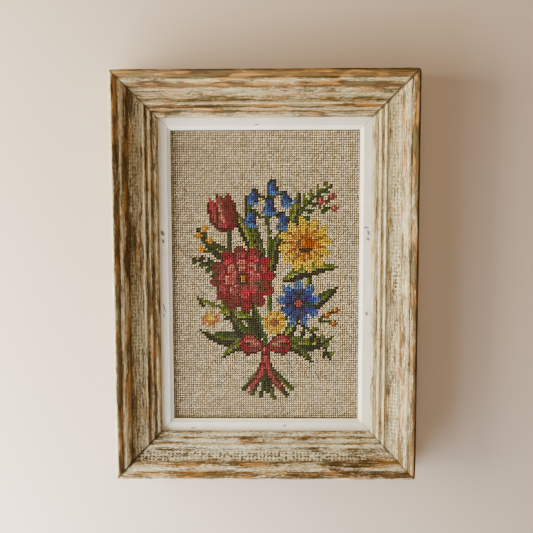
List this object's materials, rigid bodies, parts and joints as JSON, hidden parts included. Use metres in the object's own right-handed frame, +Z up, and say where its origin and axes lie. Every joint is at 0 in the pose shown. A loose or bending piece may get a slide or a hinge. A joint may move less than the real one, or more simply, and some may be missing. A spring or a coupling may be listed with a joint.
{
  "type": "framed needlepoint canvas panel",
  "caption": "Upright tent-stitch needlepoint canvas held flat behind a white inner slip in a deep, stepped, limed wooden picture frame that hangs flat on a wall.",
  "frame": {"origin": "middle of the top bar's flat back face, where the wall holds the frame", "axes": "+Z up, +Y into the wall, +X to the viewer's right; the stitched front faces -Y"},
  "size_m": [0.338, 0.037, 0.456],
  "materials": {
    "limed_wood": "limed and rubbed, worn to the brown wood",
    "white_slip": "matt white paint",
    "wool_canvas": "wool tent stitch on cotton canvas"
  },
  "bodies": {
    "root": {"frame_top": "limed_wood", "frame_bottom": "limed_wood", "frame_left": "limed_wood", "frame_right": "limed_wood", "slip_top": "white_slip", "slip_bottom": "white_slip", "slip_left": "white_slip", "slip_right": "white_slip", "needlepoint_canvas": "wool_canvas"}
  },
  "joints": []
}
